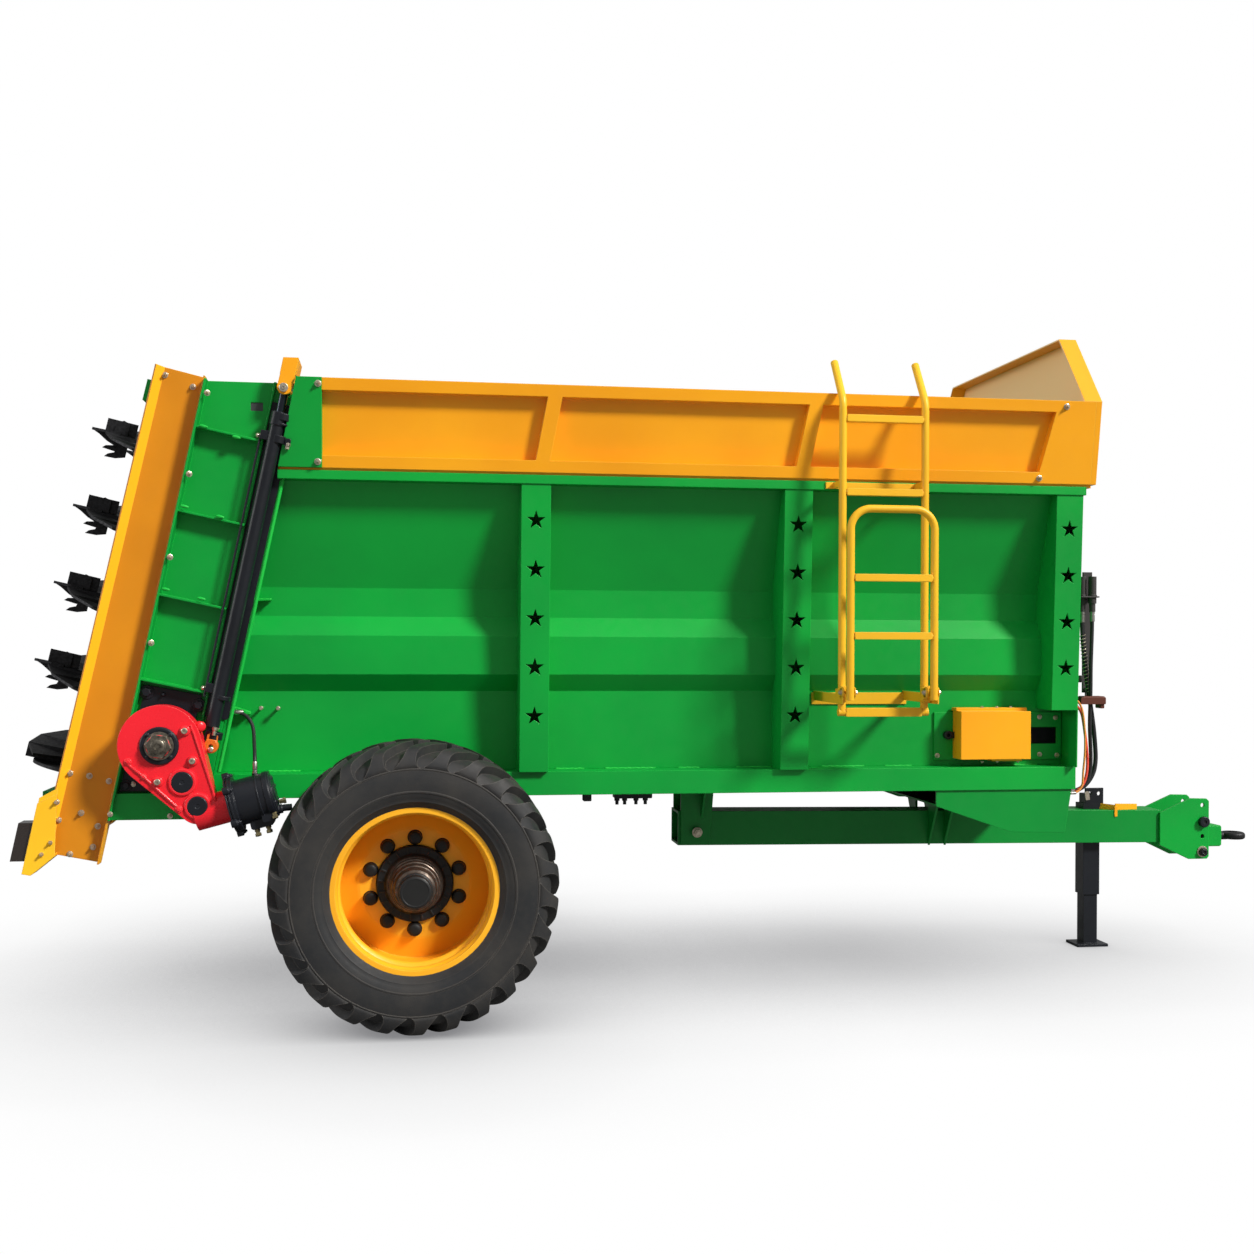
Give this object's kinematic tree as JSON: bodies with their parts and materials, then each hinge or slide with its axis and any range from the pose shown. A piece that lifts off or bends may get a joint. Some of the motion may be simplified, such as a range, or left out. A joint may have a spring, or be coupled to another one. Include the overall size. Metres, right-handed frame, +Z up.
{
  "type": "towed manure spreader with two vertical beaters",
  "caption": "Towed single-axle box spreader with a scraper floor, lifting tailgate, two upright screw beaters, ladder, parking jack and ring hitch.",
  "frame": {"origin": "on the ground, at the middle of the machine's length and width", "axes": "+X forwards to the hitch, +Z up, -Y the machine's right side"},
  "size_m": [5.4196, 2.5, 2.687],
  "materials": {
    "green_paint": "glossy enamel",
    "yellow_paint": "glossy enamel",
    "red_paint": "glossy enamel",
    "dark_paint": "satin black enamel",
    "dark_steel": "dark oxidised steel",
    "bare_steel": "machined steel",
    "chrome": "hard chrome",
    "tyre": "worn black rubber",
    "lamp": "red lens",
    "hose": "ribbed black hose"
  },
  "bodies": {
    "root": {"side_walls": "green_paint", "sills": "green_paint", "top_rails": "green_paint", "floor": "green_paint", "front_wall": "green_paint", "front_apron": "green_paint", "posts": "green_paint", "boards": "yellow_paint", "board_ends": "green_paint", "headboard": "yellow_paint", "rear_frames": "green_paint", "portal_plates": "green_paint", "gate_guides": "green_paint", "shields": "yellow_paint", "rear_lamps": "lamp", "top_beam": "green_paint", "lower_beam": "green_paint", "beater_drive": "dark_paint", "bearing_plates": "dark_paint", "floor_gearbox": "red_paint", "hydraulic_motor": "dark_paint", "floor_shafts": "bare_steel", "floor_chain": "dark_steel", "tensioner_plates": "green_paint", "tensioner_covers": "yellow_paint", "cylinder_barrels": "dark_paint", "axle": "green_paint", "axle_brackets": "green_paint", "cross_members": "green_paint", "drawbar": "green_paint", "drawbar_hanger": "green_paint", "drawbar_carrier": "green_paint", "hitch_head": "green_paint", "hitch_eye": "dark_steel", "jack": "dark_paint", "ladder": "yellow_paint", "driveline": "bare_steel", "hose_stand": "dark_paint", "hose_couplings": "bare_steel", "hose_ports": "bare_steel", "guarded_hose": "hose", "plain_hose": "hose", "red_hose": "hose", "orange_hose": "hose", "motor_hose": "hose"},
    "tailgate": {"tailgate": "green_paint", "gate_arms": "yellow_paint", "gate_rods": "chrome"},
    "wheel_right": {"tyre_right": "tyre", "rim_right": "yellow_paint", "hub_right": "dark_paint"},
    "wheel_left": {"tyre_left": "tyre", "rim_left": "yellow_paint", "hub_left": "dark_paint"},
    "beater_right": {"beater_right": "dark_steel"},
    "beater_left": {"beater_left": "dark_steel"},
    "ladder_hoop": {"ladder_hoop": "yellow_paint"}
  },
  "joints": [
    {"name": "wheel_right_spin", "type": "hinge", "parent": "root", "child": "wheel_right", "pos_m": [-1.19516, -1, 0.52], "axis": [0, 1, 0], "continuous": true},
    {"name": "wheel_left_spin", "type": "hinge", "parent": "root", "child": "wheel_left", "pos_m": [-1.19516, 1, 0.52], "axis": [0, 1, 0], "continuous": true},
    {"name": "beater_right_spin", "type": "hinge", "parent": "root", "child": "beater_right", "pos_m": [-2.48248, -0.355, 0.88], "axis": [0.2267, 0, 0.974], "continuous": true},
    {"name": "beater_left_spin", "type": "hinge", "parent": "root", "child": "beater_left", "pos_m": [-2.48248, 0.355, 0.88], "axis": [0.2267, 0, 0.974], "continuous": true},
    {"name": "gate_lift", "type": "slide", "parent": "root", "child": "tailgate", "axis": [0.2011, 0, 0.9796], "range_m": [0, 1]},
    {"name": "hoop_fold", "type": "hinge", "parent": "root", "child": "ladder_hoop", "pos_m": [0.62084, -0.98, 1.212], "axis": [1, 0, 0], "range_deg": [0, 180]}
  ],
  "couplings": [
    {"joint": "beater_left_spin", "follows": "beater_right_spin", "ratio": -1}
  ]
}
